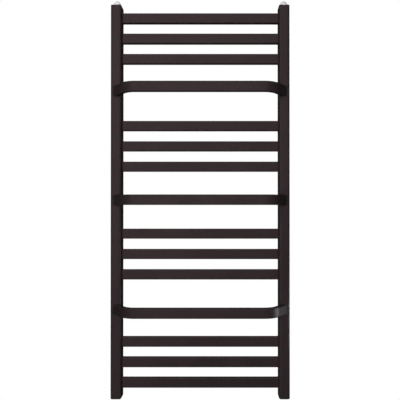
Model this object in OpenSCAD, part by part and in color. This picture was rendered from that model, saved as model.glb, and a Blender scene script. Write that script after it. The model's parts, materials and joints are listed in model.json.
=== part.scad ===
// Wall-hung ladder towel warmer heated by hot water.
// Two upright tubes carry twelve flat rungs in four groups of three, and three bars that are
// bowed out to the front, one between each two groups.  Hot water comes in and leaves through the
// ports at the uprights' lower ends, and a bleed vent sits on each upper end.  Four telescopic
// brackets hold the uprights to the wall.
//
// Millimetres.  +Z is up, the front faces -Y and the wall face is the plane Y = 0.  The origin is
// the middle of the four wall screw holes.

/* [Rack] */
// Width over both uprights
rack_w = 532; // [400:1:800]
// Height of the uprights over their end blocks
rack_h = 1170; // [1000:5:1600]
// Clear gap between the wall and the back of the uprights
wall_gap = 45; // [42:1:90]

/* [Uprights] */
// Width of an upright, seen from the front
upright_w = 32; // [29:1:50]
// Depth of an upright, front to back
upright_d = 40; // [30:1:60]
// Wall of the upright tube
upright_wall = 2; // [1.2:0.1:3]
// Corner radius of the upright tube
upright_r = 7; // [4:0.5:10]
// Height of the solid block that closes each end of an upright
block_h = 16; // [14:1:30]
// Rounding along the outer edges of an end block
block_edge_r = 2.5; // [0.5:0.1:4]
// Radius of the tapped hole in an end block
port_r = 9.3; // [7:0.1:11]

/* [Rungs] */
// Height of a rung, seen from the front
rung_h = 30; // [16:1:36]
// Depth of a rung, front to back
rung_t = 15; // [10:0.5:25]
// Wall of the rung and bar tubes
rung_wall = 1.5; // [0.8:0.1:2.5]
// Corner radius of the rung and bar tubes
rung_r = 3; // [2:0.1:5]
// Distance between the centres of neighbouring rungs in a group
rung_pitch = 61; // [45:1:75]
// Top of the rack to the centre of the top rung
top_margin = 35; // [25:1:60]
// Bottom of the rack to the centre of the bottom rung
bottom_margin = 44; // [35:1:70]
// Width that the water passage in an upright leaves standing inside the tube it feeds
passage_lip = 2; // [1:0.1:3]

/* [Bowed bars] */
// Height of a bowed bar, seen from the front
bow_h = 30; // [16:1:40]
// Depth of a bowed bar, front to back
bow_t = 15; // [10:0.5:22]
// Distance that a bowed bar's front stands out from the uprights' front
bow_reach = 57; // [45:1:75]
// Radius of a bowed bar's bends, at the middle of the tube
bow_bend_r = 48; // [30:1:60]
// Angle that a bowed bar turns through at each bend
bow_angle = 52; // [45:1:60]
// Outer edge of a bowed bar's foot to the outer side of the upright
bow_inset = 9; // [6:0.5:12]

/* [Bleed vents] */
// Radius of the white spout cap's dome
dome_r = 12; // [11:0.25:14]
// Radius of the vent stem that the spout cap turns on
stem_r = 7.5; // [6.5:0.1:8]
// Height of the spanner collar
collar_h = 3.3; // [2:0.1:6]
// Thickness of the rubber seal ring
seal_t = 1.4; // [1:0.1:2.5]
// Length of the vent's thread
vent_thread_l = 12; // [8:0.5:14]
// Radius of the bleed needle's thread
needle_r = 2.6; // [2:0.1:3]
// Radius of the bleed needle's slotted head
needle_head_r = 4.2; // [3.5:0.1:5]

/* [Wall brackets] */
// Top of the rack to the upper brackets
bracket_top_inset = 70; // [40:1:200]
// Bottom of the rack to the lower brackets
bracket_bottom_inset = 80; // [40:1:200]
// Outer radius of the wall sleeve
sleeve_r = 12; // [11:0.5:16]
// Length of the wall sleeve
sleeve_l = 30; // [25:1:38]
// Floor of the wall sleeve, which the wall screw clamps
sleeve_floor = 4; // [3:0.5:6]
// Radius of the wall screw hole
screw_hole_r = 2.75; // [2:0.05:3.5]
// Radius of the post that slides in the sleeve
post_r = 8; // [6:0.25:9]
// Rest position of the post's end above the sleeve's floor
post_end_gap = 8; // [7:0.5:10]
// Length of the boss welded to the back of an upright
boss_l = 8; // [6:0.5:9]
// Outer radius of that boss
boss_r = 10; // [8:0.5:12]
// Radius of the stud on the post's end
stud_r = 4; // [3:0.25:5]
// Radius of the grub screw that locks a post
grub_r = 2.5; // [1.5:0.25:3]

/* [Fits] */
// Radial gap between a thread and the hole that it is screwed into
thread_gap = 0.1; // [0.05:0.05:0.2]
// Radial gap between pieces that slide or turn on each other
running_gap = 0.08; // [0.02:0.01:0.1]
// Gap between pieces that pass each other without touching
free_gap = 0.3; // [0.2:0.05:0.5]

/* [Hidden] */
$fn = 64;
tiny = 0.01;
// Length by which a cut runs past the solid that it goes through.
cut = 1;
group_count = 4;
group_size = 3;

upright_x = (rack_w - upright_w) / 2;
inner_half_w = rack_w / 2 - upright_w;
back_y = -wall_gap;
mid_y = back_y - upright_d / 2;
front_y = back_y - upright_d;

// Heights are counted from the rack's bottom, then lowered to put the origin between the brackets.
bracket_mid_h = (bracket_bottom_inset + rack_h - bracket_top_inset) / 2;
bottom_z = -bracket_mid_h;
top_z = bottom_z + rack_h;
bracket_z = (rack_h - bracket_top_inset - bracket_bottom_inset) / 2;

// The room left over between the groups is shared out evenly.
group_span = (group_size - 1) * rung_pitch;
group_space = (rack_h - top_margin - bottom_margin - group_count * group_span) / (group_count - 1);
function rung_z(n) = top_z - top_margin - floor(n / group_size) * (group_span + group_space)
    - (n % group_size) * rung_pitch;
function bow_z(n) = rung_z((n + 1) * group_size) + group_space / 2;

// Plan of a bowed bar: half its straight front, then the bend, then a straight leg to the foot.
bow_outer_r = bow_bend_r + bow_t / 2;
bow_overrun = 1;
bow_leg_drop = bow_reach - bow_outer_r * (1 - cos(bow_angle));
bow_leg_run = bow_leg_drop / tan(bow_angle);
bow_foot_x = rack_w / 2 - bow_inset;
bow_front_half = bow_foot_x - bow_outer_r * sin(bow_angle) - bow_leg_run;
bow_leg_l = bow_leg_drop / sin(bow_angle) + bow_overrun;
bow_foot_mid_x = bow_foot_x - bow_t / 2 / sin(bow_angle);
bow_mid_y = front_y - bow_reach + bow_t / 2;
// The straight leg's faces lie this much inside the bend's, so that the two always merge.
leg_step = 0.05;

// Vent heights above the top of the rack.
vent_thread_r = port_r - thread_gap;
collar_z = seal_t;
collar_top = collar_z + collar_h;
dome_z = collar_top + free_gap;
dome_top = dome_z + dome_r;
needle_head_h = 3;
needle_head_z = dome_top - needle_head_h - free_gap;
stem_top = needle_head_z - free_gap;
collar_across = 22;
collar_chamfer = 30;
collar_face_r = collar_across / 2 - free_gap;
needle_tip_h = 2;
needle_bottom = collar_z;
needle_slot = 1;
bleed_r = 0.9;
outlet_rise = 2.5;
outlet_z = dome_z + outlet_rise;
spout_r = 2.4;
spout_nose = 2.5;

// Bracket lengths along Y.
boss_end_y = back_y + boss_l;
post_end_y = -sleeve_floor - post_end_gap;
sleeve_bore_r = post_r + running_gap;
countersink_r = 5.2;
grub_inset = 6;
grub_y = -sleeve_l + grub_inset;
grub_tip_gap = 0.1;
grub_key_r = 1.3;
grub_key_depth = 1.8;

coat = "#3a3032";
chrome = "#d5d7da";
white = "#f0eeea";
zinc = "#a9adb2";
rubber = "#1c1c1e";

// ---- shapes that repeat ----

module rounded_rect(w, h, r) {
    square([w, h - 2 * r], center = true);
    square([w - 2 * r, h], center = true);
    for (x = [-1, 1], y = [-1, 1])
        translate([x * (w / 2 - r), y * (h / 2 - r)])
            circle(r);
}

// A rounded bar along +X from the origin; t is its size along Y and h along Z.
module bar_x(length, t, h, r) {
    rotate([90, 0, 90])
        linear_extrude(length)
            rounded_rect(t, h, r);
}

// A cylinder along +Y from the origin.
module rod_y(r, length) {
    rotate([-90, 0, 0])
        cylinder(r = r, h = length);
}

// ---- uprights and their end blocks ----

module upright_section(inset) {
    rounded_rect(upright_w - 2 * inset, upright_d - 2 * inset, upright_r - inset);
}

// The hole that lets water from an upright into a tube of outer size t by h.
module passage(t, h, length) {
    inset = rung_wall + passage_lip;
    passage_t = t - 2 * inset;
    bar_x(length, passage_t, h - 2 * inset, passage_t / 2 - tiny);
}

module upright(side) {
    color(coat)
        difference() {
            translate([side * upright_x, mid_y, bottom_z + block_h])
                linear_extrude(rack_h - 2 * block_h)
                    upright_section(0);
            translate([side * upright_x, mid_y, bottom_z + block_h - cut])
                linear_extrude(rack_h - 2 * block_h + 2 * cut)
                    upright_section(upright_wall);
            for (n = [0 : group_count * group_size - 1])
                translate([side * inner_half_w, mid_y, rung_z(n)])
                    mirror([side > 0 ? 0 : 1, 0, 0])
                        translate([-cut, 0, 0])
                            passage(rung_t, rung_h, upright_wall + 2 * cut);
            for (n = [0 : group_count - 2])
                translate([side * bow_foot_mid_x, front_y - cut, bow_z(n)])
                    rotate([0, 0, 90])
                        passage(bow_t, bow_h, upright_wall + 2 * cut);
        }
}

// A block with its outer edges rounded, and a port along Z.  It stands on Z = 0, open end up.
module end_block() {
    color(coat)
        difference() {
            intersection() {
                linear_extrude(block_h)
                    upright_section(0);
                rotate([90, 0, 0])
                    linear_extrude(upright_d, center = true)
                        block_profile(upright_w);
                rotate([90, 0, 90])
                    linear_extrude(upright_w, center = true)
                        block_profile(upright_d);
            }
            translate([0, 0, -cut])
                cylinder(r = port_r, h = block_h + 2 * cut);
        }
}

// Side view of a block: square at its foot, rounded at its top corners.
module block_profile(w) {
    translate([-w / 2, 0])
        square([w, block_h - block_edge_r]);
    translate([-w / 2 + block_edge_r, 0])
        square([w - 2 * block_edge_r, block_h]);
    for (x = [-1, 1])
        translate([x * (w / 2 - block_edge_r), block_h - block_edge_r])
            circle(block_edge_r);
}

module top_block(side) {
    translate([side * upright_x, mid_y, top_z - block_h])
        end_block();
}

module bottom_block(side) {
    translate([side * upright_x, mid_y, bottom_z + block_h])
        rotate([180, 0, 0])
            end_block();
}

// ---- rungs and bowed bars ----

module rung(n) {
    color(coat)
        translate([-inner_half_w, mid_y, rung_z(n)])
            difference() {
                bar_x(2 * inner_half_w, rung_t, rung_h, rung_r);
                translate([-cut, 0, 0])
                    bar_x(2 * (inner_half_w + cut), rung_t - 2 * rung_wall, rung_h - 2 * rung_wall,
                        rung_r - rung_wall);
            }
}

// Half of a bowed bar's run, thinned by inset on every face, from X = 0 to past the foot.
module bow_half(inset) {
    t = bow_t - 2 * inset;
    h = bow_h - 2 * inset;
    r = rung_r - inset;
    bar_x(bow_front_half, t, h, r);
    translate([bow_front_half, bow_bend_r, 0]) {
        rotate([0, 0, -90])
            rotate_extrude(angle = bow_angle)
                translate([bow_bend_r, 0])
                    rounded_rect(t, h, r);
        rotate([0, 0, bow_angle])
            translate([-tiny, -bow_bend_r, 0])
                bar_x(bow_leg_l, t - 2 * leg_step, h - 2 * leg_step, r - leg_step);
    }
}

module bowed_bar(n) {
    color(coat)
        difference() {
            translate([0, bow_mid_y, bow_z(n)])
                difference() {
                    union() {
                        bow_half(0);
                        mirror([1, 0, 0])
                            bow_half(0);
                    }
                    bow_half(rung_wall);
                    mirror([1, 0, 0])
                        bow_half(rung_wall);
                }
            for (side = [-1, 1])
                translate([side * upright_x, mid_y, bow_z(n) - bow_h])
                    linear_extrude(2 * bow_h)
                        upright_section(0);
        }
}

// ---- bleed vents: body, seal, spout cap and needle, each on the vent's own axis ----

module at_vent(side) {
    translate([side * upright_x, mid_y, top_z])
        children();
}

module vent_body(side) {
    color(chrome)
        at_vent(side)
            difference() {
                union() {
                    translate([0, 0, -vent_thread_l])
                        cylinder(r = vent_thread_r, h = vent_thread_l + collar_z);
                    translate([0, 0, collar_z])
                        intersection() {
                            cylinder(r = collar_across / sqrt(3), h = collar_h, $fn = 6);
                            cylinder(
                                r1 = collar_face_r + collar_h / tan(collar_chamfer),
                                r2 = collar_face_r,
                                h = collar_h
                            );
                        }
                    translate([0, 0, collar_top - tiny])
                        cylinder(r = stem_r, h = stem_top - collar_top + tiny);
                }
                translate([0, 0, needle_bottom])
                    cylinder(r = needle_r + running_gap, h = dome_top);
                translate([0, 0, -vent_thread_l - cut])
                    cylinder(r = bleed_r, h = vent_thread_l + needle_bottom + 2 * cut);
                translate([0, 0, outlet_z])
                    rod_y(bleed_r, stem_r + cut);
            }
}

module vent_seal(side) {
    color(rubber)
        at_vent(side)
            rotate_extrude()
                translate([vent_thread_r + seal_t / 2 + tiny, seal_t / 2])
                    circle(seal_t / 2 - tiny);
}

module vent_spout(side) {
    color(white)
        at_vent(side)
            difference() {
                union() {
                    translate([0, 0, dome_z])
                        intersection() {
                            sphere(dome_r);
                            cylinder(r = dome_r + cut, h = dome_r);
                        }
                    translate([0, 0, outlet_z])
                        rod_y(spout_r - free_gap / 2, dome_r + spout_nose);
                }
                translate([0, 0, dome_z - cut])
                    cylinder(r = stem_r + running_gap, h = stem_top - dome_z + cut + free_gap / 2);
                cylinder(r = needle_head_r + free_gap, h = dome_top + cut);
                translate([0, 0, outlet_z])
                    rod_y(bleed_r, dome_r + spout_nose + cut);
            }
}

module vent_needle(side) {
    color(chrome)
        at_vent(side)
            difference() {
                union() {
                    translate([0, 0, needle_bottom + free_gap])
                        cylinder(r1 = bleed_r, r2 = needle_r, h = needle_tip_h);
                    translate([0, 0, needle_bottom + free_gap + needle_tip_h])
                        cylinder(r = needle_r, h = needle_head_z - needle_bottom - free_gap - needle_tip_h);
                    translate([0, 0, needle_head_z])
                        cylinder(r = needle_head_r, h = needle_head_h);
                }
                translate([-needle_head_r - cut, -needle_slot / 2, needle_head_z + needle_head_h / 2])
                    cube([2 * (needle_head_r + cut), needle_slot, needle_head_h]);
            }
}

// ---- wall brackets: side is -1 left or 1 right, level is -1 lower or 1 upper ----

module at_bracket(side, level) {
    translate([side * upright_x, 0, level * bracket_z])
        children();
}

// The post's stud is screwed into the boss, and its shank slides in the wall sleeve.
module post(side, level) {
    color(zinc)
        at_bracket(side, level) {
            translate([0, back_y, 0])
                rod_y(stud_r - thread_gap, boss_l + tiny);
            translate([0, boss_end_y, 0])
                rod_y(post_r, post_end_y - boss_end_y);
        }
}

module boss(side, level) {
    at_bracket(side, level)
        translate([0, back_y, 0])
            difference() {
                rod_y(boss_r, boss_l);
                translate([0, -cut, 0])
                    rod_y(stud_r, boss_l + 2 * cut);
            }
}

module post_bosses() {
    color(coat)
        for (side = [-1, 1], level = [-1, 1])
            boss(side, level);
}

module sleeve(side, level) {
    color(coat)
        at_bracket(side, level)
            difference() {
                translate([0, -sleeve_l, 0])
                    rod_y(sleeve_r, sleeve_l);
                translate([0, -sleeve_l - cut, 0])
                    rod_y(sleeve_bore_r, sleeve_l - sleeve_floor + cut);
                translate([0, -sleeve_floor - cut, 0])
                    rod_y(screw_hole_r, sleeve_floor + 2 * cut);
                translate([0, -sleeve_floor, 0])
                    rotate([-90, 0, 0])
                        cylinder(r1 = countersink_r, r2 = screw_hole_r, h = countersink_r - screw_hole_r);
                translate([0, grub_y, -sleeve_r - cut])
                    cylinder(r = grub_r, h = sleeve_r);
            }
}

module grub_screws() {
    grub_l = sleeve_r - post_r - grub_tip_gap - free_gap;
    color(zinc)
        for (side = [-1, 1], level = [-1, 1])
            at_bracket(side, level)
                translate([0, grub_y, -sleeve_r + free_gap])
                    difference() {
                        cylinder(r = grub_r - thread_gap, h = grub_l);
                        translate([0, 0, -cut])
                            cylinder(r = grub_key_r, h = grub_key_depth + cut, $fn = 6);
                    }
}

upright(-1);  // left_upright
upright(1);  // right_upright
top_block(-1);  // left_top_block
top_block(1);  // right_top_block
bottom_block(-1);  // left_bottom_block
bottom_block(1);  // right_bottom_block
rung(0);  // rung_01
rung(1);  // rung_02
rung(2);  // rung_03
rung(3);  // rung_04
rung(4);  // rung_05
rung(5);  // rung_06
rung(6);  // rung_07
rung(7);  // rung_08
rung(8);  // rung_09
rung(9);  // rung_10
rung(10);  // rung_11
rung(11);  // rung_12
bowed_bar(0);  // upper_bowed_bar
bowed_bar(1);  // middle_bowed_bar
bowed_bar(2);  // lower_bowed_bar
vent_body(-1);  // left_vent_body
vent_body(1);  // right_vent_body
vent_seal(-1);  // left_vent_seal
vent_seal(1);  // right_vent_seal
vent_spout(-1);  // left_vent_spout
vent_spout(1);  // right_vent_spout
vent_needle(-1);  // left_vent_needle
vent_needle(1);  // right_vent_needle
post(-1, 1);  // upper_left_post
post(1, 1);  // upper_right_post
post(-1, -1);  // lower_left_post
post(1, -1);  // lower_right_post
post_bosses();
sleeve(-1, 1);  // upper_left_sleeve
sleeve(1, 1);  // upper_right_sleeve
sleeve(-1, -1);  // lower_left_sleeve
sleeve(1, -1);  // lower_right_sleeve
grub_screws();
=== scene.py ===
"""Looks of a wall-hung ladder towel warmer: its finishes, welds, threads and small trim.

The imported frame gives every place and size.  All lengths are metres in the row frame: +Z is up,
the rack's front faces -Y, and the wall is the plane Y = 0.
"""

import json
import logging
import math
from collections.abc import Sequence
from dataclasses import dataclass, field
from enum import Enum
from functools import cache

import bmesh
import bpy
from bpy.types import Node, NodeSocket, NodeTree
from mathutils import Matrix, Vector

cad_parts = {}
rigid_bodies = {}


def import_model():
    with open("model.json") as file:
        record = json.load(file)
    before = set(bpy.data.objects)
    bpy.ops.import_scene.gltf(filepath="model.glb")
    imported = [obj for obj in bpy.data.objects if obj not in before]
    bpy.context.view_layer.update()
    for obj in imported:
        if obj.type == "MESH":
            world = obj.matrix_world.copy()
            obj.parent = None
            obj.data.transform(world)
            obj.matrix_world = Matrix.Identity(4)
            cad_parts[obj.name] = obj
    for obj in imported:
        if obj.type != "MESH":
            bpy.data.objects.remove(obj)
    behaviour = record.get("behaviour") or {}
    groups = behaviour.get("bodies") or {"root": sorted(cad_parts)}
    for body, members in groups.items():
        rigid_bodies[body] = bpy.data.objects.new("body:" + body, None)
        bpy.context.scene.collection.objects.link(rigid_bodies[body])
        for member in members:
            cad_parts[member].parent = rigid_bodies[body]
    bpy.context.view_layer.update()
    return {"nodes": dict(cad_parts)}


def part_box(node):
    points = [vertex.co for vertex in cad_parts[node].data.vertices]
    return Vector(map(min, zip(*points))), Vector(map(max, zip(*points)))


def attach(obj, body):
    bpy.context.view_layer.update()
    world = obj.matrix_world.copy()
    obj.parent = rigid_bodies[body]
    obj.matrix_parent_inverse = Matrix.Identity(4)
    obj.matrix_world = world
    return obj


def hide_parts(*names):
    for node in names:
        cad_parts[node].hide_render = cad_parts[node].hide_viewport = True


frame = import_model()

log = logging.getLogger("towel_warmer")
MM = 0.001
TAU = 2.0 * math.pi
UPRIGHT_CORNER_R = 7.0 * MM
BAR_CORNER_R = 3.0 * MM
Point = tuple[float, float, float]
Span = tuple[float, float]
UNIT_SPAN: Span = (0.0, 1.0)
NOISE_SPAN: Span = (0.3, 0.7)


# ---------------------------------------------------------------- meshes


def make_object(name: str, points: Sequence[Vector], faces: Sequence[Sequence[int]],
                smooth_below: float = 40.0) -> bpy.types.Object:
    """Makes a mesh object whose faces shade smooth across soft edges.

    Args:
        name: Name of the piece.
        points: Corner points in the row frame, in metres.
        faces: Corner numbers of each face of a closed skin.
        smooth_below: Edges that turn by less than this many degrees shade smooth.

    Returns:
        The new object, linked to the scene.
    """
    mesh = bpy.data.meshes.new(name)
    mesh.from_pydata([tuple(p) for p in points], [], [tuple(f) for f in faces])
    solid = bmesh.new()
    solid.from_mesh(mesh)
    bmesh.ops.recalc_face_normals(solid, faces=solid.faces)
    solid.to_mesh(mesh)
    solid.free()
    for polygon in mesh.polygons:
        polygon.use_smooth = True
    mesh.set_sharp_from_angle(angle=math.radians(smooth_below))
    piece = bpy.data.objects.new(name, mesh)
    bpy.context.scene.collection.objects.link(piece)
    return piece


def loft(rings: Sequence[Sequence[Vector]], wrap: bool) -> list[list[int]]:
    """Faces that join rings of equally many points.

    Args:
        rings: Closed rings of points, each as long as the first.
        wrap: Whether the last ring joins the first again; if not, both ends are closed.

    Returns:
        Corner numbers into the rings' points, laid end to end.
    """
    count = len(rings[0])
    faces = []
    for i in range(len(rings) if wrap else len(rings) - 1):
        near, far = i * count, (i + 1) % len(rings) * count
        for k in range(count):
            nxt = (k + 1) % count
            faces.append([near + k, near + nxt, far + nxt, far + k])
    if not wrap:
        faces.append(list(range(count)))
        faces.append(list(range((len(rings) - 1) * count, len(rings) * count)))
    return faces


@dataclass(frozen=True)
class OutlinePoint:
    """A point on a flat outline, with the outward direction there."""

    u: float
    v: float
    out_u: float
    out_v: float


def rounded_outline(width: float, height: float, radius: float, count: int) -> list[OutlinePoint]:
    """Evenly spaced points round a rectangle with round corners, anticlockwise.

    Args:
        width: Full size along u.
        height: Full size along v.
        radius: Corner radius.
        count: Number of points.

    Returns:
        The outline's points, starting in the middle of the +u side.
    """
    flat_u, flat_v = width / 2 - radius, height / 2 - radius
    quarter = radius * math.pi / 2
    total = 4 * (flat_u + flat_v + quarter)
    corners = ((flat_u, flat_v), (-flat_u, flat_v), (-flat_u, -flat_v), (flat_u, -flat_v))
    runs = (flat_v, 2 * flat_u, 2 * flat_v, 2 * flat_u)
    points = []
    for i in range(count):
        left = total * i / count
        point = OutlinePoint(width / 2, left - total, 1.0, 0.0)
        for turn, ((cu, cv), run) in enumerate(zip(corners, runs)):
            back = max(run - left, 0.0)
            angle = (turn + min(max(left - run, 0.0) / quarter, 1.0)) * math.pi / 2
            out_u, out_v = math.cos(angle), math.sin(angle)
            if left < run + quarter:
                point = OutlinePoint(cu + radius * out_u + back * out_v,
                                     cv + radius * out_v - back * out_u, out_u, out_v)
                break
            left -= run + quarter
        points.append(point)
    return points


# ---------------------------------------------------------------- shader nodes


class MixKind(Enum):
    """What a Mix node mixes: its data type, its first value socket and its result socket."""

    NUMBER = ("FLOAT", 2, 0)
    COLOUR = ("RGBA", 6, 2)


class Graph:
    """A node tree, with short calls for the nodes that the finishes use."""

    def __init__(self, tree: NodeTree) -> None:
        """Wraps a node tree."""
        self.tree = tree

    def add(self, kind: str, **settings: object) -> Node:
        """Adds a node.

        Args:
            kind: The node's type name, without the leading "ShaderNode" where it has one.
            **settings: Values for the node's own properties.

        Returns:
            The new node.
        """
        name = kind if kind.startswith("NodeGroup") else "ShaderNode" + kind
        node = self.tree.nodes.new(name)
        for key, value in settings.items():
            setattr(node, key, value)
        return node

    def link(self, source: NodeSocket, target: NodeSocket) -> None:
        """Joins an output to an input."""
        self.tree.links.new(source, target)

    def feed(self, socket: NodeSocket, value: object) -> None:
        """Gives an input its value.

        Args:
            socket: The input.
            value: An output to link to it, or a plain value to set.
        """
        if isinstance(value, NodeSocket):
            self.link(value, socket)
        else:
            socket.default_value = value

    def math(self, operation: str, *values: object, clamp: bool = False) -> NodeSocket:
        """Adds a Math node.

        Args:
            operation: The node's operation, such as "MULTIPLY".
            *values: Numbers or outputs for its inputs.
            clamp: Whether the result is kept between 0 and 1.

        Returns:
            The node's output.
        """
        node = self.add("Math", operation=operation, use_clamp=clamp)
        for socket, value in zip(node.inputs, values):
            self.feed(socket, value)
        return node.outputs[0]

    def noise(self, place: NodeSocket, scale: object, detail: float = 2.0,
              roughness: float = 0.5) -> NodeSocket:
        """Adds a Noise Texture.

        Args:
            place: Where the noise is read.
            scale: How fine it is, in cycles for each metre.
            detail: How many finer layers it has.
            roughness: How strong those layers are.

        Returns:
            The noise's value.
        """
        node = self.add("TexNoise")
        self.link(place, node.inputs["Vector"])
        self.feed(node.inputs["Scale"], scale)
        node.inputs["Detail"].default_value = detail
        node.inputs["Roughness"].default_value = roughness
        return node.outputs["Fac"]

    def spread(self, value: NodeSocket, span: Span,
               to: Span = UNIT_SPAN) -> NodeSocket:
        """Maps a value smoothly from one range to another.

        Args:
            value: The value.
            span: The low and high end of the range it is in.
            to: What those two ends become.

        Returns:
            The mapped value.
        """
        node = self.add("MapRange", interpolation_type="SMOOTHSTEP")
        self.link(value, node.inputs["Value"])
        for socket, number in zip(("From Min", "From Max", "To Min", "To Max"), (*span, *to)):
            node.inputs[socket].default_value = number
        return node.outputs["Result"]

    def blend(self, factor: object, first: object, second: object,
              kind: MixKind = MixKind.COLOUR) -> NodeSocket:
        """Mixes two values.

        Args:
            factor: The second value's share, from 0 to 1.
            first: The first colour or number.
            second: The second colour or number.
            kind: Which of the two they are.

        Returns:
            The mixture.
        """
        data_type, socket, result = kind.value
        node = self.add("Mix", data_type=data_type)
        self.feed(node.inputs[0], factor)
        self.feed(node.inputs[socket], first)
        self.feed(node.inputs[socket + 1], second)
        return node.outputs[result]

    def group(self, tree: NodeTree, **values: object) -> Node:
        """Places a shared group with its own values.

        Args:
            tree: The shared group.
            **values: Input values, with underscores for the spaces in their names.

        Returns:
            The group's node.
        """
        node = self.add("Group", node_tree=tree)
        for key, value in values.items():
            node.inputs[key.replace("_", " ")].default_value = value
        return node

    def place(self) -> NodeSocket:
        """The place on the object, in metres in the row frame."""
        return self.add("TexCoord").outputs["Object"]


def rgba(colour: Point) -> tuple[float, float, float, float]:
    """A linear colour with full alpha."""
    return (*colour, 1.0)


class SharedGroup(Graph):
    """The graph of a shader node group that several finishes share."""

    def __init__(self, name: str, inputs: dict[str, float | Point],
                 outputs: Sequence[str]) -> None:
        """Makes the group with its sockets.

        Args:
            name: The group's name.
            inputs: First value of each named input, a number or a vector.
            outputs: Names of its outputs, which are all numbers.
        """
        super().__init__(bpy.data.node_groups.new(name, "ShaderNodeTree"))
        for label, value in inputs.items():
            kind = "NodeSocketVector" if isinstance(value, tuple) else "NodeSocketFloat"
            socket = self.tree.interface.new_socket(name=label, in_out="INPUT", socket_type=kind)
            socket.default_value = value
        for label in outputs:
            self.tree.interface.new_socket(name=label, in_out="OUTPUT",
                                           socket_type="NodeSocketFloat")
        self.given = self.add("NodeGroupInput").outputs
        self.out = self.add("NodeGroupOutput").inputs

    def face_way(self) -> bpy.types.bpy_prop_collection:
        """Splits up the surface's normal.

        Returns:
            Its X, Y and Z outputs.
        """
        normal = self.add("SeparateXYZ")
        self.link(self.add("NewGeometry").outputs["Normal"], normal.inputs[0])
        return normal.outputs


@cache
def cast_grain_group() -> NodeTree:
    """Fine grain on a broad unevenness, as baked powder and moulded plastic have.

    Returns:
        The node group.
    """
    graph = SharedGroup("cast_grain", {"Fine scale": 1800.0, "Peel scale": 260.0,
                                       "Peel share": 1.5, "Broad scale": 9.0},
                        ("Height", "Speckle", "Tone"))
    place = graph.place()
    fine = graph.noise(place, graph.given["Fine scale"], detail=2.0, roughness=0.6)
    peel = graph.noise(place, graph.given["Peel scale"], detail=1.0, roughness=0.4)
    broad = graph.noise(place, graph.given["Broad scale"], detail=3.0, roughness=0.5)
    height = graph.math("MULTIPLY_ADD", peel, graph.given["Peel share"], fine)
    graph.link(height, graph.out["Height"])
    graph.link(fine, graph.out["Speckle"])
    graph.link(broad, graph.out["Tone"])
    return graph.tree


@cache
def edge_wear_and_highlight_group() -> NodeTree:
    """Mask of the rounded corners, where a coat lies thin and gets rubbed, and where a painted
    edge highlight goes.

    Returns:
        The node group.
    """
    graph = SharedGroup("edge_wear_and_highlight", {"Upright": 0.0, "Amount": 1.0}, ("Mask",))
    squares = [graph.math("MULTIPLY", axis, axis) for axis in graph.face_way()]
    rest = graph.math("SUBTRACT", 1.0, squares[2])
    across = graph.math("MULTIPLY", squares[2], rest)
    upright = graph.math("MULTIPLY", squares[0], squares[1])
    product = graph.blend(graph.given["Upright"], across, upright, MixKind.NUMBER)
    # Two squares that add up to 1 have a product of at most 1/4.
    to_unit = 4.0
    # This corner mask carries both rubbed wear and a painted edge highlight.
    corner = graph.math("MULTIPLY", product, to_unit, clamp=True)
    patches = graph.noise(graph.place(), scale=70.0, detail=3.0, roughness=0.6)
    patchy = graph.spread(patches, span=(0.35, 0.7), to=(0.35, 1.0))
    worn_and_highlit = graph.math("MULTIPLY", corner, patchy)
    mask = graph.math("MULTIPLY", worn_and_highlit, graph.given["Amount"], clamp=True)
    graph.link(mask, graph.out["Mask"])
    return graph.tree


@cache
def dust_group() -> NodeTree:
    """Mask of a thin dust film on faces that look up.

    Returns:
        The node group.
    """
    graph = SharedGroup("dust_film", {"Amount": 0.2}, ("Mask",))
    upward = graph.spread(graph.face_way()["Z"], span=(0.55, 1.0))
    clouds = graph.noise(graph.place(), scale=38.0, detail=4.0, roughness=0.65)
    cloud = graph.spread(clouds, span=(0.35, 0.75), to=(0.2, 1.0))
    film = graph.math("MULTIPLY", upward, cloud)
    mask = graph.math("MULTIPLY", film, graph.given["Amount"], clamp=True)
    graph.link(mask, graph.out["Mask"])
    return graph.tree


@cache
def turned_lines_group() -> NodeTree:
    """Fine rings that a lathe leaves round a chosen axis of travel.

    Returns:
        The node group.
    """
    graph = SharedGroup("turned_lines", {"Travel": (0.0, 0.0, 1.0), "Lines per metre": 4000.0},
                        ("Height", "Blotch"))
    travel = graph.add("VectorMath", operation="DOT_PRODUCT")
    graph.link(graph.place(), travel.inputs[0])
    graph.link(graph.given["Travel"], travel.inputs[1])
    line = graph.add("CombineXYZ")
    graph.link(travel.outputs["Value"], line.inputs["X"])
    fine = graph.noise(line.outputs[0], graph.given["Lines per metre"], detail=3.0, roughness=0.7)
    blotch = graph.noise(graph.place(), scale=160.0, detail=3.0, roughness=0.55)
    graph.link(fine, graph.out["Height"])
    graph.link(blotch, graph.out["Blotch"])
    return graph.tree


# ---------------------------------------------------------------- finishes


class TubeRun(Enum):
    """Which way a coated tube runs, which says where its rounded corners are."""

    ACROSS = 0.0
    UPRIGHT = 1.0


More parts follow.
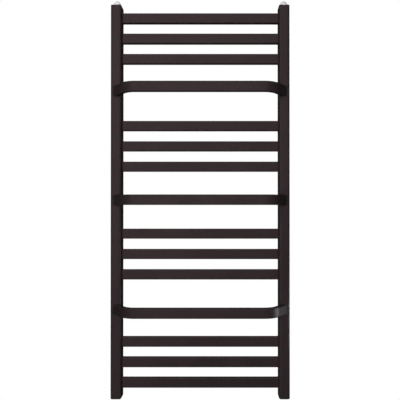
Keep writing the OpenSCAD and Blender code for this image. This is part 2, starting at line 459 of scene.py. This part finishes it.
@dataclass(frozen=True)
class Finish:
    """A finish: one material, built on first use."""

    name: str
    roughness: float
    grain_depth: float
    grain_strength: float = 0.4
    gloss_change: Span = (-0.07, 0.08)

    def material(self) -> bpy.types.Material:
        """The finish's material.

        Returns:
            The material, which is made on the first call.
        """
        if self.name in bpy.data.materials:
            return bpy.data.materials[self.name]
        material = bpy.data.materials.new(self.name)
        material.use_nodes = True
        graph = Graph(material.node_tree)
        shader = material.node_tree.nodes["Principled BSDF"]
        shader.inputs["Roughness"].default_value = self.roughness
        self.dress(graph, shader)
        return material

    def dress(self, graph: Graph, shader: Node) -> None:
        """Adds the finish's own nodes round its shader."""
        raise NotImplementedError

    def uneven_gloss(self, graph: Graph, speckle: NodeSocket) -> NodeSocket:
        """Lets the roughness follow a noise.

        Args:
            graph: The material's graph.
            speckle: The noise.

        Returns:
            The roughness.
        """
        smoother, rougher = self.gloss_change
        return graph.spread(speckle, NOISE_SPAN,
                            (self.roughness + smoother, self.roughness + rougher))

    def bump(self, graph: Graph, shader: Node, height: NodeSocket) -> None:
        """Feeds a height to the shader's normal.

        Args:
            graph: The material's graph.
            shader: The material's shader.
            height: The height, from 0 to 1.
        """
        bump = graph.add("Bump")
        bump.inputs["Strength"].default_value = self.grain_strength
        bump.inputs["Distance"].default_value = self.grain_depth
        graph.link(height, bump.inputs["Height"])
        graph.link(bump.outputs["Normal"], shader.inputs["Normal"])


@dataclass(frozen=True)
class PowderCoat(Finish):
    """Dark warm brown-black satin powder coat with a fine baked grain."""

    grain_strength: float = 0.35
    gloss_change: Span = (-0.06, 0.08)
    run: TubeRun = TubeRun.ACROSS
    dark: Point = (0.0240, 0.0174, 0.0182)
    light: Point = (0.0300, 0.0218, 0.0228)
    glint: Point = (1.0, 0.70, 0.78)
    # Lighter colour of the rounded corners: rubbed coat, and also a painted edge highlight.
    worn_and_highlit: Point = (0.060, 0.045, 0.047)
    wear_and_highlight: float = 0.55
    wear_polish: float = -0.10
    dust: Point = (0.16, 0.15, 0.145)
    dustiness: float = 0.10
    dust_dulling: float = 0.5

    def dress(self, graph: Graph, shader: Node) -> None:
        """Mottles the coat, lightens its corners with wear and a painted edge highlight, and lays
        a thin dust film on top.

        Args:
            graph: The material's graph.
            shader: The material's shader.
        """
        shader.inputs["Specular Tint"].default_value = rgba(self.glint)
        grain = graph.group(cast_grain_group(), Fine_scale=1500.0, Peel_scale=240.0,
                            Peel_share=1.6, Broad_scale=7.0)
        edge = graph.group(edge_wear_and_highlight_group(), Upright=self.run.value, Amount=self.wear_and_highlight)
        film = graph.group(dust_group(), Amount=self.dustiness)
        tone = graph.spread(grain.outputs["Tone"], NOISE_SPAN)
        coat = graph.blend(tone, rgba(self.dark), rgba(self.light))
        # Corners turn lighter here: partly rubbed coat, partly a painted edge highlight.
        rubbed_and_highlit = graph.blend(edge.outputs["Mask"], coat, rgba(self.worn_and_highlit))
        dusty = graph.blend(film.outputs["Mask"], rubbed_and_highlit, rgba(self.dust))
        graph.link(dusty, shader.inputs["Base Color"])
        sheen = self.uneven_gloss(graph, grain.outputs["Speckle"])
        softer = graph.math("MULTIPLY_ADD", film.outputs["Mask"], self.dust_dulling, sheen)
        polished = graph.math("MULTIPLY_ADD", edge.outputs["Mask"], self.wear_polish, softer,
                              clamp=True)
        graph.link(polished, shader.inputs["Roughness"])
        self.bump(graph, shader, grain.outputs["Height"])


@dataclass(frozen=True)
class ChromePlate(Finish):
    """Polished chrome with faint turning marks and a few dull smudges."""

    grain_strength: float = 0.12
    colour: Point = (0.80, 0.81, 0.82)
    smudge: Point = (0.62, 0.62, 0.61)
    smudge_span: Span = (0.5, 0.72)
    smudge_dulling: float = 0.14

    def dress(self, graph: Graph, shader: Node) -> None:
        """Dulls the mirror finish here and there.

        Args:
            graph: The material's graph.
            shader: The material's shader.
        """
        shader.inputs["Metallic"].default_value = 1.0
        lines = graph.group(turned_lines_group(), Lines_per_metre=6000.0)
        dull = graph.spread(lines.outputs["Blotch"], self.smudge_span)
        graph.link(graph.blend(dull, rgba(self.colour), rgba(self.smudge)),
                   shader.inputs["Base Color"])
        graph.link(graph.math("MULTIPLY_ADD", dull, self.smudge_dulling, self.roughness),
                   shader.inputs["Roughness"])
        self.bump(graph, shader, lines.outputs["Height"])


@dataclass(frozen=True)
class MouldedPlastic(Finish):
    """White moulded plastic with a fine spark texture."""

    grain_strength: float = 0.25
    gloss_change: Span = (-0.05, 0.07)
    colour: Point = (0.90, 0.88, 0.87)
    aged: Point = (0.82, 0.79, 0.75)
    milkiness: float = 0.08
    light_reach: Point = (0.8 * MM, 0.6 * MM, 0.5 * MM)

    def dress(self, graph: Graph, shader: Node) -> None:
        """Varies the white slightly and grains the surface.

        Args:
            graph: The material's graph.
            shader: The material's shader.
        """
        shader.inputs["Subsurface Weight"].default_value = self.milkiness
        shader.inputs["Subsurface Radius"].default_value = self.light_reach
        grain = graph.group(cast_grain_group(), Fine_scale=3600.0, Peel_scale=700.0,
                            Peel_share=0.5, Broad_scale=60.0)
        tone = graph.spread(grain.outputs["Tone"], span=(0.4, 0.8), to=(0.0, 0.6))
        graph.link(graph.blend(tone, rgba(self.colour), rgba(self.aged)),
                   shader.inputs["Base Color"])
        graph.link(self.uneven_gloss(graph, grain.outputs["Speckle"]), shader.inputs["Roughness"])
        self.bump(graph, shader, grain.outputs["Height"])


@dataclass(frozen=True)
class NitrileRubber(Finish):
    """Matt black seal rubber with a bloom."""

    gloss_change: Span = (-0.08, 0.08)
    colour: Point = (0.012, 0.012, 0.013)
    bloom: Point = (0.045, 0.045, 0.047)
    bloom_span: Span = (0.4, 0.75)

    def dress(self, graph: Graph, shader: Node) -> None:
        """Clouds the black with a light bloom.

        Args:
            graph: The material's graph.
            shader: The material's shader.
        """
        grain = graph.group(cast_grain_group(), Fine_scale=2600.0, Broad_scale=180.0)
        cloud = graph.spread(grain.outputs["Tone"], self.bloom_span)
        graph.link(graph.blend(cloud, rgba(self.colour), rgba(self.bloom)),
                   shader.inputs["Base Color"])
        graph.link(self.uneven_gloss(graph, grain.outputs["Speckle"]), shader.inputs["Roughness"])
        self.bump(graph, shader, grain.outputs["Height"])


@dataclass(frozen=True)
class BareSteel(Finish):
    """Turned steel, bright or zinc plated, with lathe rings along an axis."""

    gloss_change: Span = (-0.07, 0.10)
    travel: Point = (0.0, 1.0, 0.0)
    bright: Point = (0.55, 0.56, 0.57)
    stained: Point = (0.46, 0.44, 0.38)
    stain_span: Span = (0.42, 0.68)
    lines_per_metre: float = 2600.0

    def dress(self, graph: Graph, shader: Node) -> None:
        """Stains the plating and rings the surface.

        Args:
            graph: The material's graph.
            shader: The material's shader.
        """
        shader.inputs["Metallic"].default_value = 1.0
        lines = graph.group(turned_lines_group(), Travel=self.travel,
                            Lines_per_metre=self.lines_per_metre)
        stain = graph.spread(lines.outputs["Blotch"], self.stain_span)
        graph.link(graph.blend(stain, rgba(self.bright), rgba(self.stained)),
                   shader.inputs["Base Color"])
        graph.link(self.uneven_gloss(graph, lines.outputs["Height"]), shader.inputs["Roughness"])
        self.bump(graph, shader, lines.outputs["Height"])


COAT_ACROSS = PowderCoat("powder_coat_across", 0.44, 0.10 * MM, run=TubeRun.ACROSS)
COAT_UPRIGHT = PowderCoat("powder_coat_upright", 0.44, 0.10 * MM, run=TubeRun.UPRIGHT)
CHROME = ChromePlate("chrome_plate", 0.09, 0.01 * MM)
WHITE_PLASTIC = MouldedPlastic("white_moulded_plastic", 0.34, 0.03 * MM)
RUBBER = NitrileRubber("black_seal_rubber", 0.72, 0.03 * MM)
ZINC = BareSteel("zinc_plated_steel", 0.34, 0.02 * MM)
TAPPED_STEEL = BareSteel("tapped_steel", 0.36, 0.02 * MM, travel=(0.0, 0.0, 1.0),
                         bright=(0.40, 0.38, 0.36), stained=(0.26, 0.21, 0.17),
                         lines_per_metre=5200.0)


def coat_node(node: str, finish: Finish) -> None:
    """Gives a carried-over piece its finish.

    Args:
        node: The piece's name.
        finish: Its finish.
    """
    mesh = frame["nodes"][node].data
    mesh.materials.clear()
    mesh.materials.append(finish.material())
    log.info("%s wears %s", node, finish.name)


def add_piece(piece: bpy.types.Object, body: str, slot: str, *finishes: Finish) -> None:
    """Dresses a new piece and lets it ride on a body.

    Args:
        piece: The new object.
        body: Name of the body that carries it.
        slot: The record's material slot; not used.
        *finishes: Its materials, in slot order.
    """
    for finish in finishes:
        piece.data.materials.append(finish.material())
    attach(piece, body)
    log.info("%s rides on %s, %d faces", piece.name, body, len(piece.data.polygons))


# ---------------------------------------------------------------- welds


@dataclass(frozen=True)
class UprightFace:
    """The front or back face of an upright, with its two round corners."""

    centre_x: float
    y: float
    half_flat: float
    corner_r: float
    outward: float

    def at(self, across: float, z: float) -> Vector:
        """A point on the face.

        Args:
            across: Distance from the face's middle line along the surface, plus towards +X.
            z: Height.

        Returns:
            The point in the row frame.
        """
        round_part = max(abs(across) - self.half_flat, 0.0) / self.corner_r
        x = min(abs(across), self.half_flat) + self.corner_r * math.sin(round_part)
        drop = self.corner_r * (1.0 - math.cos(round_part))
        return Vector((self.centre_x + math.copysign(x, across), self.y - self.outward * drop, z))

    def across_at(self, x: float) -> float:
        """Finds how far along the surface a given X lies.

        Args:
            x: The X, in the row frame.

        Returns:
            The distance from the face's middle line, plus towards +X.
        """
        local = x - self.centre_x
        past = min(max(abs(local) - self.half_flat, 0.0) / self.corner_r, 1.0)
        return math.copysign(min(abs(local), self.half_flat) + self.corner_r * math.asin(past),
                             local)


@dataclass
class WeldBead:
    """A fillet weld that runs round the end of a tube or boss."""

    name: str
    leg: float = 1.7 * MM
    bury: float = 0.3 * MM
    ripple: float = 0.10 * MM
    ripple_pitch: float = 2.1 * MM
    points_per_ripple: int = 6
    fewest_ripples: int = 4
    steps: int = 5
    hollow: float = 0.16
    smooth_below: float = 50.0

    def count(self, length: float) -> int:
        """Number of points for a toe line of a given length, a whole number of ripples."""
        return self.points_per_ripple * max(self.fewest_ripples,
                                            round(length / self.ripple_pitch))

    def build(self, toe: Sequence[Vector], away: Sequence[Vector],
              along: Sequence[Vector]) -> None:
        """Builds the bead round a closed line.

        Args:
            toe: Points of the line where the tube meets the face it is welded to.
            away: At each point, the direction in that face away from the tube.
            along: At each point, the direction along the tube.
        """
        sections = []
        for i, (corner, outward, up) in enumerate(zip(toe, away, along)):
            wave = math.cos(TAU * i / self.points_per_ripple)
            size = self.leg + self.ripple * wave
            section = [corner - self.bury * (outward + up)]
            for k in range(self.steps + 1):
                turn = math.pi / 2 * k / self.steps
                reach = size * (1.0 - self.hollow * math.sin(2 * turn))
                section.append(corner + reach * (math.cos(turn) * outward + math.sin(turn) * up))
            sections.append(section)
        points = [p for section in sections for p in section]
        bead = make_object(self.name, points, loft(sections, wrap=True), self.smooth_below)
        add_piece(bead, "rack", "coated_steel", COAT_ACROSS)


# ---------------------------------------------------------------- sub-assemblies


@dataclass
class TubeFrame:
    """The two uprights with the blocks that close their ends."""

    edge_r: float = 2.5 * MM
    corner_r: float = UPRIGHT_CORNER_R
    crest_r: float = 9.3 * MM
    root_r: float = 10.4 * MM
    thread_pitch: float = 1.814 * MM
    ridge_top: float = 1.5
    ridge_slope: float = 2.6
    lead_in: float = 1.2 * MM
    rings_per_turn: int = 10
    ring_points: int = 96
    edge_steps: int = 6
    smooth_below: float = 35.0

    def build(self) -> None:
        """Coats the uprights and top blocks, and cuts a real thread in the bottom blocks."""
        for side in ("left", "right"):
            coat_node(f"{side}_upright", COAT_UPRIGHT)
            coat_node(f"{side}_top_block", COAT_UPRIGHT)
            self.water_port(side)

    def skin_ring(self, low: Vector, high: Vector, inset: float, z: float) -> list[Vector]:
        """One ring of the block's outer skin.

        Args:
            low: The block's lowest corner.
            high: The block's highest corner.
            inset: How far the ring lies inside the block's outline.
            z: The ring's height.

        Returns:
            The ring's points.
        """
        outline = rounded_outline(high.x - low.x - 2 * inset, high.y - low.y - 2 * inset,
                                  self.corner_r - inset, self.ring_points)
        middle = (low + high) / 2
        return [Vector((middle.x + p.u, middle.y + p.v, z)) for p in outline]

    def thread_ring(self, middle: Vector, depth: float, length: float, z: float) -> list[Vector]:
        """One ring of the threaded bore.

        Args:
            middle: The bore's axis.
            depth: How deep the ring lies in the bore.
            length: The bore's length.
            z: The ring's height.

        Returns:
            The ring's points.
        """
        ring = []
        for i in range(self.ring_points):
            turn = i / self.ring_points
            phase = (depth / self.thread_pitch + turn) % 1.0
            slope = self.ridge_slope * abs(2.0 * phase - 1.0)
            ridge = min(max(self.ridge_top - slope, 0.0), 1.0)
            ridge *= min(depth / self.lead_in, (length - depth) / self.lead_in, 1.0)
            r = self.root_r - (self.root_r - self.crest_r) * ridge
            ring.append(Vector((middle.x + r * math.cos(TAU * turn),
                                middle.y + r * math.sin(TAU * turn), z)))
        return ring

    def water_port(self, side: str) -> None:
        """Builds a bottom block with its threaded water port.

        Args:
            side: "left" or "right".
        """
        node = f"{side}_bottom_block"
        low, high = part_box(node)
        middle = (low + high) / 2
        length = high.z - low.z
        rings = []
        for k in range(self.edge_steps + 1):
            turn = math.pi / 2 * k / self.edge_steps
            inset = self.edge_r * (1.0 - math.sin(turn))
            rise = self.edge_r * (1.0 - math.cos(turn))
            rings.append(self.skin_ring(low, high, inset, low.z + rise))
        rings.append(self.skin_ring(low, high, 0.0, high.z))
        skin_bands = len(rings) - 1
        thread_bands = round(length / self.thread_pitch * self.rings_per_turn)
        for k in range(thread_bands, -1, -1):
            depth = length * k / thread_bands
            rings.append(self.thread_ring(middle, depth, length, low.z + depth))
        block = make_object(f"{side}_threaded_block", [p for ring in rings for p in ring],
                            loft(rings, wrap=True), self.smooth_below)
        add_piece(block, "rack", "coated_steel", COAT_UPRIGHT, TAPPED_STEEL)
        for i, polygon in enumerate(block.data.polygons):
            band = i // self.ring_points
            polygon.material_index = int(skin_bands < band < len(rings) - 1)
        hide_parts(node)


@dataclass
class RungSet:
    """The twelve straight rungs and the welds round their ends."""

    count: int = 12
    corner_r: float = BAR_CORNER_R

    def build(self) -> None:
        """Coats each rung and welds both of its ends."""
        for n in range(1, self.count + 1):
            node = f"rung_{n:02d}"
            coat_node(node, COAT_ACROSS)
            low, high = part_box(node)
            self.weld(f"{node}_left_weld", low, high, low.x, 1.0)
            self.weld(f"{node}_right_weld", low, high, high.x, -1.0)

    def weld(self, name: str, low: Vector, high: Vector, x: float, inward: float) -> None:
        """Lays a bead round one end of a rung.

        Args:
            name: The bead's name.
            low: The rung's lowest corner.
            high: The rung's highest corner.
            x: Where the rung meets the upright.
            inward: Which way along X the rung runs from there.
        """
        bead = WeldBead(name)
        size = high - low
        saved_at_corners = (8 - TAU) * self.corner_r
        count = bead.count(2 * (size.y + size.z) - saved_at_corners)
        outline = rounded_outline(size.y, size.z, self.corner_r, count)
        middle = (low + high) / 2
        toe = [Vector((x, middle.y + p.u, middle.z + p.v)) for p in outline]
        away = [Vector((0.0, p.out_u, p.out_v)) for p in outline]
        bead.build(toe, away, [Vector((inward, 0.0, 0.0))] * len(toe))


@dataclass
class BowedBarSet:
    """The three bowed bars and the welds round their feet."""

    levels: tuple[str, ...] = ("upper", "middle", "lower")
    angle: float = math.radians(52.0)
    thickness: float = 15.0 * MM
    corner_r: float = BAR_CORNER_R
    foot_inset: float = 9.0 * MM

    def build(self) -> None:
        """Coats each bar and welds both of its feet."""
        for level in self.levels:
            node = f"{level}_bowed_bar"
            coat_node(node, COAT_ACROSS)
            low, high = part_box(node)
            for side, sign in (("left", -1.0), ("right", 1.0)):
                self.weld(f"{node}_{side}_weld", upright_face(side, -1.0), sign,
                          high.z - low.z, (low.z + high.z) / 2)

    def weld(self, name: str, face: UprightFace, sign: float, height: float, z: float) -> None:
        """Lays a bead round the slanted foot of a bar.

        Args:
            name: The bead's name.
            face: The upright's front face.
            sign: -1 for the left upright and 1 for the right.
            height: The bar's height.
            z: The height of the bar's middle.
        """
        bead = WeldBead(name)
        slant = self.thickness / math.sin(self.angle)
        half = face.half_flat + face.corner_r
        foot_x = face.centre_x + sign * (half - self.foot_inset - slant / 2)
        outline = rounded_outline(slant, height, self.corner_r, bead.count(2 * (slant + height)))
        along = Vector((-sign * math.cos(self.angle), -math.sin(self.angle), 0.0))
        toe, away = [], []
        for p in outline:
            across = face.across_at(foot_x + p.u)
            toe.append(face.at(across, z + p.v))
            end = face.at(across + bead.leg * p.out_u, z + p.v + bead.leg * p.out_v)
            away.append((end - toe[-1]).normalized())
        bead.build(toe, away, [along] * len(toe))


@dataclass
class BleedVents:
    """The vents on top of the uprights: chrome body, seal, white spout cap and needle."""

    rib_count: int = 30
    rib_height: float = 4.6 * MM
    rib_width: float = 1.1 * MM
    rib_proud: float = 0.35 * MM
    cap_r: float = 12.0 * MM
    rise: float = 0.15 * MM
    foot_bury: float = 0.2 * MM
    end_margin: float = 0.03
    end_squareness: int = 6
    nose_gap: float = math.radians(16.0)
    steps: int = 8
    smooth_below: float = 60.0

    def build(self) -> None:
        """Dresses both vents and gives their caps grip ribs."""
        for side in ("left", "right"):
            coat_node(f"{side}_vent_body", CHROME)
            coat_node(f"{side}_vent_seal", RUBBER)
            coat_node(f"{side}_vent_spout", WHITE_PLASTIC)
            coat_node(f"{side}_vent_needle", CHROME)
            self.ribs(side)

    def rib_section(self, centre: Vector, angle: float, share: float) -> list[Vector]:
        """One section across a grip rib.

        Args:
            centre: The middle of the cap's dome.
            angle: The rib's angle round the cap.
            share: How far up the rib the section lies, from 0 to 1.

        Returns:
            The section's points, from the buried foot over the crest and back.
        """
        climb = (self.rise + self.rib_height * share) / self.cap_r
        fade = math.sqrt(max(1.0 - (2.0 * share - 1.0) ** self.end_squareness, 0.0))
        outward = Vector((math.cos(angle) * math.cos(climb), math.sin(angle) * math.cos(climb),
                          math.sin(climb)))
        sideways = Vector((-math.sin(angle), math.cos(angle), 0.0))
        section = []
        for k in range(self.steps + 1):
            turn = math.pi * k / self.steps
            bury = self.foot_bury if k in (0, self.steps) else 0.0
            reach = self.cap_r - bury + self.rib_proud * fade * math.sin(turn)
            section.append(centre + reach * outward
                           + self.rib_width / 2 * fade * math.cos(turn) * sideways)
        return section

    def ribs(self, side: str) -> None:
        """Builds the grip ribs round one spout cap, leaving out those at its nose.

        Args:
            side: "left" or "right".
        """
        low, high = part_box(f"{side}_vent_spout")
        centre = Vector(((low.x + high.x) / 2, low.y + self.cap_r, low.z))
        points: list[Vector] = []
        faces: list[list[int]] = []
        for n in range(self.rib_count):
            angle = TAU * n / self.rib_count
            if abs(angle - math.pi / 2) < self.nose_gap:
                continue
            inner = 1.0 - 2.0 * self.end_margin
            sections = [self.rib_section(centre, angle, self.end_margin + inner * k / self.steps)
                        for k in range(self.steps + 1)]
            start = len(points)
            faces += [[start + c for c in face] for face in loft(sections, wrap=False)]
            points += [p for section in sections for p in section]
        ribs = make_object(f"{side}_spout_ribs", points, faces, self.smooth_below)
        add_piece(ribs, f"{side}_spout", "white_plastic", WHITE_PLASTIC)


@dataclass
class WallBrackets:
    """The four wall sleeves, their posts, bosses and grub screws."""

    boss_r: float = 10.0 * MM
    bead_leg: float = 1.5 * MM
    bead_bury: float = 0.4 * MM

    def build(self) -> None:
        """Dresses the brackets and welds each boss to its upright."""
        coat_node("post_bosses", COAT_ACROSS)
        coat_node("grub_screws", ZINC)
        for level in ("upper", "lower"):
            for side in ("left", "right"):
                coat_node(f"{level}_{side}_sleeve", COAT_ACROSS)
                coat_node(f"{level}_{side}_post", ZINC)
                self.weld(level, side)

    def weld(self, level: str, side: str) -> None:
        """Lays a bead round one boss, on the back of its upright.

        Args:
            level: "upper" or "lower".
            side: "left" or "right".
        """
        low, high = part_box(f"{level}_{side}_sleeve")
        z = (low.z + high.z) / 2
        face = upright_face(side, 1.0)
        bead = WeldBead(f"{level}_{side}_boss_weld", leg=self.bead_leg, bury=self.bead_bury)
        count = bead.count(TAU * self.boss_r)
        toe, away = [], []
        for i in range(count):
            turn = TAU * i / count
            out_x, out_z = math.cos(turn), math.sin(turn)
            across = face.across_at(face.centre_x + self.boss_r * out_x)
            toe.append(face.at(across, z + self.boss_r * out_z))
            end = face.at(across + bead.leg * out_x, z + (self.boss_r + bead.leg) * out_z)
            away.append((end - toe[-1]).normalized())
        bead.build(toe, away, [Vector((0.0, 1.0, 0.0))] * count)


def upright_face(side: str, outward: float) -> UprightFace:
    """The front or back face of an upright.

    Args:
        side: "left" or "right".
        outward: -1 for the front face and 1 for the back.

    Returns:
        The face.
    """
    low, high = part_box(f"{side}_upright")
    y = low.y if outward < 0 else high.y
    half_flat = (high.x - low.x) / 2 - UPRIGHT_CORNER_R
    return UprightFace((low.x + high.x) / 2, y, half_flat, UPRIGHT_CORNER_R, outward)


# ---------------------------------------------------------------- studio


FITTING_FINISHES = (CHROME, WHITE_PLASTIC, RUBBER, ZINC)


def fittings() -> bpy.types.Collection:
    """The bright small parts, which some lamps light alone as hand-held reflectors would.

    Returns:
        The collection, which is filled on the first call.
    """
    if "fittings" in bpy.data.collections:
        return bpy.data.collections["fittings"]
    group = bpy.data.collections.new("fittings")
    names = {finish.name for finish in FITTING_FINISHES}
    for piece in bpy.context.scene.objects:
        if piece.type == "MESH" and piece.data.materials[0].name in names:
            group.objects.link(piece)
    return group


@dataclass(frozen=True)
class Softbox:
    """A rectangular studio lamp."""

    name: str
    place: Point
    target: Point
    size: tuple[float, float]
    watts: float
    colour: Point = (1.0, 1.0, 1.0)
    spread: float = 180.0
    matt: bool = True
    gloss: bool = True
    fittings_only: bool = False

    def build(self) -> None:
        """Hangs the lamp and turns it to its target."""
        lamp = bpy.data.lights.new(self.name, "AREA")
        lamp.shape = "RECTANGLE"
        lamp.size, lamp.size_y = self.size
        lamp.energy = self.watts
        lamp.color = self.colour
        lamp.spread = math.radians(self.spread)
        holder = bpy.data.objects.new(self.name, lamp)
        holder.location = self.place
        aim = Vector(self.target) - Vector(self.place)
        holder.rotation_euler = aim.to_track_quat("-Z", "Y").to_euler()
        holder.visible_diffuse = self.matt
        holder.visible_glossy = self.gloss
        if self.fittings_only:
            holder.light_linking.receiver_collection = fittings()
        bpy.context.scene.collection.objects.link(holder)
        log.info("%s gives %.0f W", self.name, self.watts)


def mirrored_lamps(height: str, place: Point, size: tuple[float, float],
                   watts: float) -> list[Softbox]:
    """Two lamps behind the rack, one on each side, which light it but don't mirror in it.

    Args:
        height: Word for their height, which starts their names.
        place: Place of the right lamp.
        size: Width and height of each.
        watts: Power of each.

    Returns:
        The left lamp and the right lamp.
    """
    x, y, z = place
    return [Softbox(f"{height}_{side}_lamp", (sign * x, y, z), (0.0, -0.05, 0.0), size, watts,
                    gloss=False) for side, sign in (("left", -1.0), ("right", 1.0))]


@dataclass
class Studio:
    """Camera, backdrop, floor and lamps."""

    camera_distance: float = 1.310
    camera_side: float = 0.0526
    camera_height: float = 0.5623
    camera_tilt: float = math.radians(0.275)
    lens: float = 39.84
    sensor_width: float = 36.0
    shift: tuple[float, float] = (-0.0447, 0.0178)
    far_clip: float = 50.0
    bright_way: Point = (0.0, -0.75, 0.66)
    bright_span: Span = (-0.3, 1.0)
    room_dark: Point = (0.012, 0.012, 0.013)
    room_bright: Point = (0.12, 0.12, 0.12)
    white: Point = (1.0, 1.0, 1.0)
    floor_drop: float = 0.35
    floor_r: float = 6.0
    floor_rings: int = 24
    floor_points: int = 48
    floor_dark: Point = (0.78, 0.775, 0.765)
    floor_pale: Point = (0.82, 0.815, 0.81)
    fade_span: Span = (0.30, 0.54)
    floor_glow: float = 0.45
    lamps: list[Softbox] = field(default_factory=lambda: [
        Softbox("key_lamp", (-0.55, -2.6, 0.0), (0.0, -0.08, 0.0), (1.8, 1.8), watts=56.0,
                gloss=False),
        Softbox("sheen_lamp", (-0.5, -3.3, 2.7), (-0.5, 0.0, 2.7), (3.4, 3.4), watts=29.0,
                matt=False),
        *mirrored_lamps("high", (1.7, 2.0, 2.5), (1.0, 1.0), 34.0),
        *mirrored_lamps("level", (1.5, 2.3, 0.2), (0.8, 1.6), 22.0),
        Softbox("low_lamp", (1.12, -0.14, -0.53), (0.20, -0.12, -0.32), (0.26, 0.12), watts=0.060,
                colour=(0.80, 1.0, 1.0), spread=26.0, matt=False),
        Softbox("fittings_lamp", (-0.5, -2.2, 0.9), (0.0, 0.0, 0.3), (1.0, 1.0), watts=9.0,
                gloss=False, fittings_only=True),
        Softbox("fittings_floor_lamp", (0.0, 0.0, -1.3), (0.0, 0.01, 3.0), (14.0, 14.0),
                watts=320.0, matt=False, fittings_only=True),
        Softbox("fittings_ceiling_lamp", (0.0, 0.3, 3.0), (0.0, 0.31, 0.0), (14.0, 14.0),
                watts=190.0, matt=False, fittings_only=True),
    ])

    def camera(self) -> None:
        """Places the camera in front of the rack."""
        front_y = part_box("left_upright")[0].y
        bottom_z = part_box("left_bottom_block")[0].z
        lens = bpy.data.cameras.new("studio_camera")
        lens.lens = self.lens
        lens.sensor_width = self.sensor_width
        lens.shift_x, lens.shift_y = self.shift
        lens.clip_end = self.far_clip
        holder = bpy.data.objects.new("studio_camera", lens)
        holder.location = (self.camera_side, front_y - self.camera_distance,
                           bottom_z + self.camera_height)
        holder.rotation_euler = (math.pi / 2 + self.camera_tilt, 0.0, 0.0)
        bpy.context.scene.collection.objects.link(holder)
        bpy.context.scene.camera = holder

    def backdrop(self) -> None:
        """Shows plain white behind the rack, and lights it dimly from all round."""
        scene = bpy.context.scene
        scene.view_settings.view_transform = "Standard"
        world = bpy.data.worlds.new("studio")
        scene.world = world
        world.use_nodes = True
        graph = Graph(world.node_tree)
        world.node_tree.nodes.clear()
        ahead = graph.add("VectorMath", operation="DOT_PRODUCT")
        graph.link(graph.add("TexCoord").outputs["Generated"], ahead.inputs[0])
        ahead.inputs[1].default_value = self.bright_way
        share = graph.spread(ahead.outputs["Value"], self.bright_span)
        dim = graph.add("Background")
        graph.link(graph.blend(share, rgba(self.room_dark), rgba(self.room_bright)),
                   dim.inputs["Color"])
        white = graph.add("Background")
        white.inputs["Color"].default_value = rgba(self.white)
        mix = graph.add("MixShader")
        graph.link(graph.add("LightPath").outputs["Is Camera Ray"], mix.inputs[0])
        graph.link(dim.outputs[0], mix.inputs[1])
        graph.link(white.outputs[0], mix.inputs[2])
        out = graph.add("OutputWorld")
        graph.link(mix.outputs[0], out.inputs["Surface"])

    def floor_finish(self) -> bpy.types.Material:
        """A pale matt floor that fades to the backdrop's white away from the rack.

        Returns:
            The floor's material.
        """
        material = bpy.data.materials.new("pale_floor")
        material.use_nodes = True
        graph = Graph(material.node_tree)
        material.node_tree.nodes.clear()
        place = graph.place()
        flat = graph.add("VectorMath", operation="MULTIPLY")
        graph.link(place, flat.inputs[0])
        flat.inputs[1].default_value = (1.0, 1.0, 0.0)
        reach = graph.add("VectorMath", operation="LENGTH")
        graph.link(flat.outputs[0], reach.inputs[0])
        far = graph.spread(reach.outputs["Value"], self.fade_span, to=(self.floor_glow, 1.0))
        seen = graph.math("MULTIPLY", far, graph.add("LightPath").outputs["Is Camera Ray"])
        paint = graph.add("BsdfDiffuse")
        tone = graph.spread(graph.noise(place, scale=120.0, detail=3.0), NOISE_SPAN)
        graph.link(graph.blend(tone, rgba(self.floor_dark), rgba(self.floor_pale)),
                   paint.inputs["Color"])
        white = graph.add("Emission")
        mix = graph.add("MixShader")
        graph.link(seen, mix.inputs[0])
        graph.link(paint.outputs[0], mix.inputs[1])
        graph.link(white.outputs[0], mix.inputs[2])
        out = graph.add("OutputMaterial")
        graph.link(mix.outputs[0], out.inputs["Surface"])
        return material

    def floor(self) -> None:
        """Lays the floor under the rack, as rings that widen outward."""
        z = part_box("left_bottom_block")[0].z - self.floor_drop
        rings = []
        for i in range(1, self.floor_rings + 1):
            r = self.floor_r * (i / self.floor_rings) ** 2
            turns = [TAU * k / self.floor_points for k in range(self.floor_points)]
            rings.append([Vector((r * math.cos(t), r * math.sin(t), z)) for t in turns])
        mesh = bpy.data.meshes.new("studio_floor")
        faces = loft(rings, wrap=False)[:-1]
        mesh.from_pydata([tuple(p) for ring in rings for p in ring], [], faces)
        mesh.materials.append(self.floor_finish())
        floor = bpy.data.objects.new("studio_floor", mesh)
        floor.visible_diffuse = False
        floor.visible_glossy = False
        bpy.context.scene.collection.objects.link(floor)

    def build(self) -> None:
        """Sets the studio up round the camera."""
        self.backdrop()
        self.floor()
        for lamp in self.lamps:
            lamp.build()


def main() -> None:
    """Builds the towel warmer piece by piece."""
    logging.basicConfig(level=logging.INFO, format="%(name)s: %(message)s")
    studio = Studio()
    studio.camera()
    for part in (TubeFrame(), RungSet(), BowedBarSet(), BleedVents(), WallBrackets(), studio):
        part.build()
        log.info("%s is done", type(part).__name__)


if __name__ == "__main__":
    main()
